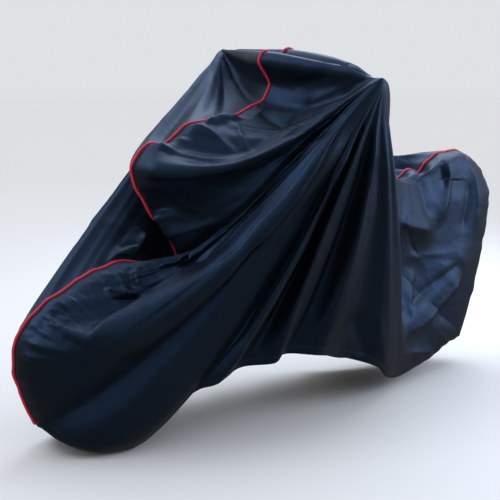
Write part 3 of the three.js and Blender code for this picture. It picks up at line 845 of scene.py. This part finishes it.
def make_panel(side, sizes):
    """One draped side panel as a thin closed sheet."""
    edge = sizes.seam_gap / MM
    sheet = sheet_grid(side, edge)
    add_detail(side, sheet, edge)
    grid = sheet["grid"]
    columns = grid.shape[1]
    counts, faces = panel_faces(columns)
    points = [sheet["tip"][None, :]]
    seam_length = sheet["rim_length"][SEAM_COLUMNS]
    corner_gap = np.minimum(sheet["rim_length"], seam_length - sheet["rim_length"])
    hem_distance = (1 - sheet["way"]) * sheet["spoke"] + np.where(sheet["on_hem"], 0, corner_gap)
    to_hem = [hem_distance[0, :1] * MM]
    along = [np.zeros(1)]
    for ring, count in enumerate(counts):
        every = columns // count
        points.append(grid[ring, ::every])
        to_hem.append(hem_distance[ring, ::every] * MM)
        along.append(sheet["rim_length"][::every] * MM)
    if side["sign"] > 0:
        faces = [face[::-1] for face in faces]
    values = {"to_hem": np.concatenate(to_hem), "along_rim": np.concatenate(along)}
    panel = mesh_object(side["name"], np.vstack(points), faces, values)
    thick = panel.modifiers.new("Cloth thickness", "SOLIDIFY")
    thick.thickness = sizes.sheet_thickness
    thick.offset = -1.0
    apply_modifiers(panel)
    places = np.empty(3 * len(panel.data.vertices))
    panel.data.vertices.foreach_get("co", places)
    places[1::3] = side["sign"] * np.maximum(sizes.seam_gap, side["sign"] * places[1::3])
    panel.data.vertices.foreach_set("co", places)
    return panel


def make_piping(sizes):
    """The piped welt: a cord in woven tape along the waved seam, puckered by stitches, on a sewn foot."""
    line, _, off, length = seam_line(PIPING_RINGS)
    turn = np.linspace(-PIPING_TURN, PIPING_TURN, PIPING_SIDES)
    tallest = sum(row["height"] for row in PIPING_PUCKERS)
    radius = sizes.piping_radius / MM * (1 + waves(PIPING_PUCKERS, length) - tallest)
    aside = np.array((0.0, 1.0, 0.0))
    ring = np.cos(turn)[None, :, None] * off[:, None, :] + np.sin(turn)[None, :, None] * aside
    cord = line[:, None, :] + PIPING_PROUD * off[:, None, :] + radius[:, None, None] * ring
    foot = []
    for half, level in ((1, "top"), (1, "bottom"), (-1, "bottom"), (-1, "top")):
        foot.append(line + PIPING_FOOT[level] * off + half * PIPING_FOOT["half"] * aside)
    points = np.concatenate([cord, np.stack(foot, axis=1)], axis=1)
    turn = np.concatenate([turn, (np.pi, np.pi, -np.pi, -np.pi)])
    sides = len(turn)
    faces = []
    for row in range(PIPING_RINGS - 1):
        here, there = row * sides, (row + 1) * sides
        for side in range(sides):
            after = (side + 1) % sides
            faces.append((here + side, here + after, there + after, there + side))
    last = (PIPING_RINGS - 1) * sides
    faces.append(tuple(range(sides))[::-1])
    faces.append(tuple(range(last, last + sides)))
    values = {"along_seam": np.repeat(length * MM, sides), "round_cord": np.tile(turn, PIPING_RINGS)}
    return mesh_object("seam_piping", points.reshape(-1, 3), faces, values)


def apply_modifiers(piece):
    """Applies a piece's modifiers in order, with only that piece selected."""
    bpy.ops.object.select_all(action="DESELECT")
    bpy.context.view_layer.objects.active = piece
    piece.select_set(True)
    for modifier in list(piece.modifiers):
        bpy.ops.object.modifier_apply(modifier=modifier.name)


def linear(code):
    """An sRGB hex colour as linear red, green, blue and alpha."""
    parts = [int(code[place:place + 2], 16) / 255 for place in (1, 3, 5)]
    return [part / 12.92 if part <= 0.04045 else ((part + 0.055) / 1.055) ** 2.4 for part in parts] + [1.0]


def per_metre(size):
    """Scale of a pattern from its size in millimetres."""
    return 1 / (size * MM)


def add_node(tree, kind, settings, inputs, output=0):
    """Adds a node, sets its properties, sets or links its inputs, and gives one of its outputs."""
    node = tree.nodes.new("ShaderNode" + kind)
    for name, value in settings.items():
        setattr(node, name, value)
    for name, value in inputs.items():
        if isinstance(value, bpy.types.NodeSocket):
            tree.links.new(value, node.inputs[name])
        else:
            node.inputs[name].default_value = value
    return node.outputs[output] if len(node.outputs) else None


def new_material(name):
    """A material with no nodes yet, and its tree."""
    material = bpy.data.materials.new(name)
    material.use_nodes = True
    material.node_tree.nodes.clear()
    return material, material.node_tree


def hem_stitches(tree):
    """Where the stitches of the hem lie: short dashes in one row, at twice the real spacing of 4 mm."""
    off = add_node(tree, "Attribute", {"attribute_name": "to_hem"}, {}, "Fac")
    along = add_node(tree, "Attribute", {"attribute_name": "along_rim"}, {}, "Fac")
    pitch = STITCHES["pitch"] * MM
    row = add_node(tree, "Math", {"operation": "COMPARE"}, {
        0: off, 1: STITCHES["off"] * MM, 2: STITCHES["half"] * MM})
    dash = add_node(tree, "Math", {"operation": "MODULO"}, {0: along, 1: pitch})
    dash = add_node(tree, "Math", {"operation": "LESS_THAN"}, {0: dash, 1: STITCHES["share"] * pitch})
    return add_node(tree, "Math", {"operation": "MULTIPLY"}, {0: row, 1: dash})


def coated_polyester(colours):
    """Woven polyester with a rubbery backing, for the panels."""
    # To the eye it is nearly black, with a soft bluish gloss, fine crinkles and dull dusty patches.
    # Threads of 0.4 mm are too fine to show, so they are drawn as a grain of 5 mm.
    material, tree = new_material("coated_polyester")
    place = add_node(tree, "TexCoord", {}, {}, "Object")
    cloud = add_node(tree, "TexNoise", {}, {"Vector": place, "Scale": per_metre(DUST_SIZE), "Detail": 4.0})
    crinkle = add_node(tree, "TexVoronoi", {"feature": "DISTANCE_TO_EDGE"}, {
        "Vector": place, "Scale": per_metre(CRINKLE_SIZE)}, "Distance")
    ripple = add_node(tree, "TexNoise", {}, {
        "Vector": place, "Scale": per_metre(RIPPLE_SIZE), "Detail": 2.0, "Distortion": 1.2})
    grain = add_node(tree, "TexNoise", {}, {"Vector": place, "Scale": per_metre(GRAIN_SIZE), "Detail": 1.0})
    stitch = hem_stitches(tree)
    dust = add_node(tree, "MapRange", EASED, {
        "Value": cloud, "From Min": 0.5, "From Max": 0.72, "To Min": 0.0, "To Max": 0.5})
    layers = ((grain, colours.cloth_light), (dust, colours.cloth_dust), (stitch, colours.thread))
    tone = linear(colours.cloth_dark)
    for share, colour in layers:
        inputs = {"Factor": share, COLOUR_LOW: tone, COLOUR_HIGH: linear(colour)}
        tone = add_node(tree, "Mix", COLOUR_MIX, inputs, COLOUR_MIXED)
    rough = add_node(tree, "MapRange", {}, {"Value": cloud, "To Min": 0.42, "To Max": 0.54})
    height = 0.0
    for pattern, millimetres in ((crinkle, 0.6), (ripple, 0.7), (grain, 0.1), (stitch, 0.4)):
        inputs = {0: pattern, 1: millimetres, 2: height}
        height = add_node(tree, "Math", {"operation": "MULTIPLY_ADD"}, inputs)
    bump = add_node(tree, "Bump", {}, {"Height": height, "Strength": 1.0, "Distance": MM})
    shader = add_node(tree, "BsdfPrincipled", {}, {
        "Base Color": tone, "Roughness": rough, "Normal": bump,
        "Specular IOR Level": 0.5, "Specular Tint": linear(colours.cloth_gloss),
        "Sheen Weight": 0.01, "Sheen Roughness": 0.4})
    add_node(tree, "OutputMaterial", {}, {"Surface": shader})
    return material


def piping_tape(colours):
    """Woven polyester tape folded over a cord, for the piping."""
    # To the eye it is a saturated matte red, with a slanting twill rib whose shade is partly painted in as
    # darker red stripes, and slightly faded stretches.
    # Twill ribs of 0.7 mm are drawn 6 mm apart, the finest that shows at this distance.
    material, tree = new_material("polyester_piping_tape")
    along = add_node(tree, "Attribute", {"attribute_name": "along_seam"}, {}, "Fac")
    turn = add_node(tree, "Attribute", {"attribute_name": "round_cord"}, {}, "Fac")
    slant = add_node(tree, "Math", {"operation": "MULTIPLY_ADD"}, {
        0: along, 1: 2 * math.pi * per_metre(RIB_SPACING), 2: turn})
    rib = add_node(tree, "Math", {"operation": "SINE"}, {0: slant})
    place = add_node(tree, "TexCoord", {}, {}, "Object")
    fade = add_node(tree, "TexNoise", {}, {"Vector": place, "Scale": per_metre(FADE_SIZE), "Detail": 3.0})
    # Painted shade: a darker red mixed in stripes that follow the twill ribs, in place of the shade between
    # them
    groove = add_node(tree, "MapRange", {}, {
        "Value": rib, "From Min": -1.0, "From Max": 1.0, "To Min": 0.0, "To Max": 0.3})
    tone = linear(colours.piping)
    for share, colour in ((fade, colours.piping_faded), (groove, colours.piping_shade)):
        inputs = {"Factor": share, COLOUR_LOW: tone, COLOUR_HIGH: linear(colour)}
        tone = add_node(tree, "Mix", COLOUR_MIX, inputs, COLOUR_MIXED)
    bump = add_node(tree, "Bump", {}, {"Height": rib, "Strength": 0.6, "Distance": 0.4 * MM})
    shader = add_node(tree, "BsdfPrincipled", {}, {
        "Base Color": tone, "Roughness": 0.62, "Sheen Weight": 0.1, "Normal": bump})
    add_node(tree, "OutputMaterial", {}, {"Surface": shader})
    return material


def pale_floor(colours):
    """Matte painted board, for the studio floor."""
    # To the eye it is pale and even, and whiter far off, where it meets the white surroundings
    material, tree = new_material("painted_board")
    place = add_node(tree, "TexCoord", {}, {}, "Object")
    off = add_node(tree, "VectorMath", {"operation": "LENGTH"}, {0: place}, "Value")
    far = add_node(tree, "MapRange", EASED, {
        "Value": off, "From Min": 1.5, "From Max": 7.0, "To Min": 0.0, "To Max": 1.0})
    inputs = {"Factor": far, COLOUR_LOW: linear(colours.floor), COLOUR_HIGH: linear(colours.floor_far)}
    tone = add_node(tree, "Mix", COLOUR_MIX, inputs, COLOUR_MIXED)
    shader = add_node(tree, "BsdfPrincipled", {}, {"Base Color": tone, "Roughness": 0.9})
    add_node(tree, "OutputMaterial", {}, {"Surface": shader})
    return material


def studio_world():
    """Soft surroundings: white behind the cover, cool overhead, warmer and dimmer low on the near side."""
    world = bpy.data.worlds.new("studio")
    world.use_nodes = True
    tree = world.node_tree
    tree.nodes.clear()
    ray = add_node(tree, "TexCoord", {}, {}, "Generated")
    along = {}
    for name, way in SKY_WAYS.items():
        along[name] = add_node(tree, "VectorMath", {"operation": "DOT_PRODUCT"}, {0: ray, 1: way}, "Value")
    eased = {}
    for row in SKY:
        eased[row["name"]] = add_node(tree, "MapRange", EASED, {
            "Value": along[row["along"]], "From Min": row["start"], "From Max": row["end"],
            "To Min": row["first"], "To Max": row["last"]})
    near = add_node(tree, "Math", {"operation": "MULTIPLY"}, {0: eased["near"], 1: eased["shade"]})
    strength = add_node(tree, "Mix", {"data_type": "FLOAT"}, {
        "Factor": eased["far"], "A": near, "B": eased["white"]})
    lower = add_node(tree, "Math", {"operation": "SUBTRACT"}, {0: 1.0, 1: eased["upper"]})
    level = add_node(tree, "Math", {"operation": "MULTIPLY"}, {0: eased["far"], 1: lower})
    tint = linear(SKY_TINTS["low"])
    for share, name in ((eased["upper"], "high"), (level, "behind")):
        inputs = {"Factor": share, COLOUR_LOW: tint, COLOUR_HIGH: linear(SKY_TINTS[name])}
        tint = add_node(tree, "Mix", COLOUR_MIX, inputs, COLOUR_MIXED)
    light = add_node(tree, "Background", {}, {"Color": tint, "Strength": strength})
    add_node(tree, "OutputWorld", {}, {"Surface": light})
    return world


def make_floor(colours):
    """The studio floor, just below the cover and left out of its reflections."""
    bpy.ops.object.select_all(action="DESELECT")
    bpy.ops.mesh.primitive_plane_add(size=FLOOR_SIZE, location=(0, 0, CAD_BOX[0].z - FLOOR_GAP))
    floor = bpy.context.object
    floor.name = "floor"
    floor.data.materials.append(pale_floor(colours))
    floor.visible_glossy = False
    return floor


def make_lights():
    """Square lamps that aim at the cover."""
    for row in LIGHTS:
        lamp = bpy.data.lights.new(row["name"], "AREA")
        lamp.size = row["size"]
        lamp.energy = row["power"]
        lamp.color = linear(row["tint"])[:3]
        holder = link_object(row["name"], lamp)
        holder.location = spot(row)
        holder.rotation_euler = (TARGET - holder.location).to_track_quat("-Z", "Y").to_euler()


def make_camera(sizes):
    """The camera at the photo's angle."""
    azimuth, elevation = math.radians(CAMERA_AZIMUTH), math.radians(CAMERA_ELEVATION)
    level = math.cos(elevation)
    back = Vector((math.sin(azimuth) * level, -math.cos(azimuth) * level, math.sin(elevation)))
    lens = bpy.data.cameras.new("photo_view")
    lens.sensor_width = SENSOR_WIDTH
    lens.lens = sizes.camera_lens
    camera = link_object("photo_view", lens)
    camera.location = TARGET + back * sizes.camera_distance
    camera.rotation_euler = (-back).to_track_quat("-Z", "Y").to_euler()
    return camera


class CoverSizes(bpy.types.PropertyGroup):
    """Sizes of the cover that a user would change."""

    sheet_thickness: bpy.props.FloatProperty(
        name="Sheet thickness", description="Thickness of the cloth", default=0.0012, unit="LENGTH")
    seam_gap: bpy.props.FloatProperty(
        name="Seam gap", description="From the middle of the seam to the edge of a panel",
        default=0.0053, unit="LENGTH")
    piping_radius: bpy.props.FloatProperty(
        name="Piping radius", description="Radius of the cord in the piping", default=0.005, unit="LENGTH")
    camera_distance: bpy.props.FloatProperty(
        name="Camera distance", description="From the camera to its target", default=3.3, unit="LENGTH")
    camera_lens: bpy.props.FloatProperty(
        name="Camera lens", description="Focal length in millimetres", default=70.85, unit="CAMERA")


class CoverColours(bpy.types.PropertyGroup):
    """Colours of the cover and the floor as sRGB hex values."""

    cloth_dark: bpy.props.StringProperty(
        name="Cloth, dark", description="Darker tone of the cloth", default="#08090b")
    cloth_light: bpy.props.StringProperty(
        name="Cloth, light", description="Lighter tone of the cloth", default="#0c0d11")
    cloth_dust: bpy.props.StringProperty(
        name="Cloth, dusty", description="Dull patches of the cloth", default="#101318")
    cloth_gloss: bpy.props.StringProperty(
        name="Cloth, gloss", description="Tint of the cloth's gloss", default="#8cc2ff")
    thread: bpy.props.StringProperty(
        name="Thread", description="Stitches of the hem", default="#1c2026")
    piping: bpy.props.StringProperty(
        name="Piping", description="Tape of the piping", default="#c8142f")
    piping_faded: bpy.props.StringProperty(
        name="Piping, faded", description="Paler tape", default="#d62040")
    # Painted shade of the twill ribs, a darker red in stripes
    piping_shade: bpy.props.StringProperty(
        name="Piping, shade", description="Between the ribs", default="#7c0d20")
    floor: bpy.props.StringProperty(
        name="Floor", description="Studio floor", default="#e2dbcf")
    floor_far: bpy.props.StringProperty(
        name="Floor, far", description="Studio floor where it meets the surroundings", default="#fff6e8")


class COVER_OT_panels(bpy.types.Operator):
    """Make the left and the right cloth panel"""

    bl_idname = "cover.panels"
    bl_label = "Cloth panels"

    def execute(self, context):
        sizes, colours = context.scene.cover_sizes, context.scene.cover_colours
        cloth = coated_polyester(colours)
        for side in (LEFT, RIGHT):
            panel = make_panel(side, sizes)
            panel.data.materials.append(cloth)
            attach(panel, "root")
            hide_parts(side["node"])
        return {"FINISHED"}


class COVER_OT_piping(bpy.types.Operator):
    """Make the piping of the centre seam"""

    bl_idname = "cover.piping"
    bl_label = "Piping"

    def execute(self, context):
        piping = make_piping(context.scene.cover_sizes)
        piping.data.materials.append(piping_tape(context.scene.cover_colours))
        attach(piping, "root")
        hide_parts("piping")
        return {"FINISHED"}


class COVER_OT_stage(bpy.types.Operator):
    """Make the floor, the lights and the camera"""

    bl_idname = "cover.stage"
    bl_label = "Studio"

    def execute(self, context):
        floor = make_floor(context.scene.cover_colours)
        context.scene.world = studio_world()
        context.scene.view_settings.view_transform = "Standard"
        make_lights()
        context.scene.camera = make_camera(context.scene.cover_sizes)
        return {"FINISHED"}


class COVER_PT_sidebar(bpy.types.Panel):
    """The cover's pieces and sizes"""

    bl_idname = "COVER_PT_sidebar"
    bl_label = "Motorcycle cover"
    bl_space_type = "VIEW_3D"
    bl_region_type = "UI"
    bl_category = "Cover"

    def draw(self, context):
        for group in (context.scene.cover_sizes, context.scene.cover_colours):
            for name in group.bl_rna.properties.keys():
                if name not in ("rna_type", "name"):
                    self.layout.prop(group, name)
        for operator in (COVER_OT_panels, COVER_OT_piping, COVER_OT_stage):
            self.layout.operator(operator.bl_idname)


CLASSES = (CoverSizes, CoverColours, COVER_OT_panels, COVER_OT_piping, COVER_OT_stage, COVER_PT_sidebar)


def register():
    for kind in CLASSES:
        bpy.utils.register_class(kind)
    bpy.types.Scene.cover_sizes = bpy.props.PointerProperty(type=CoverSizes)
    bpy.types.Scene.cover_colours = bpy.props.PointerProperty(type=CoverColours)


def unregister():
    del bpy.types.Scene.cover_colours
    del bpy.types.Scene.cover_sizes
    for kind in reversed(CLASSES):
        bpy.utils.unregister_class(kind)


def main():
    register()
    bpy.ops.cover.panels()
    bpy.ops.cover.piping()
    bpy.ops.cover.stage()


if __name__ == "__main__":
    main()
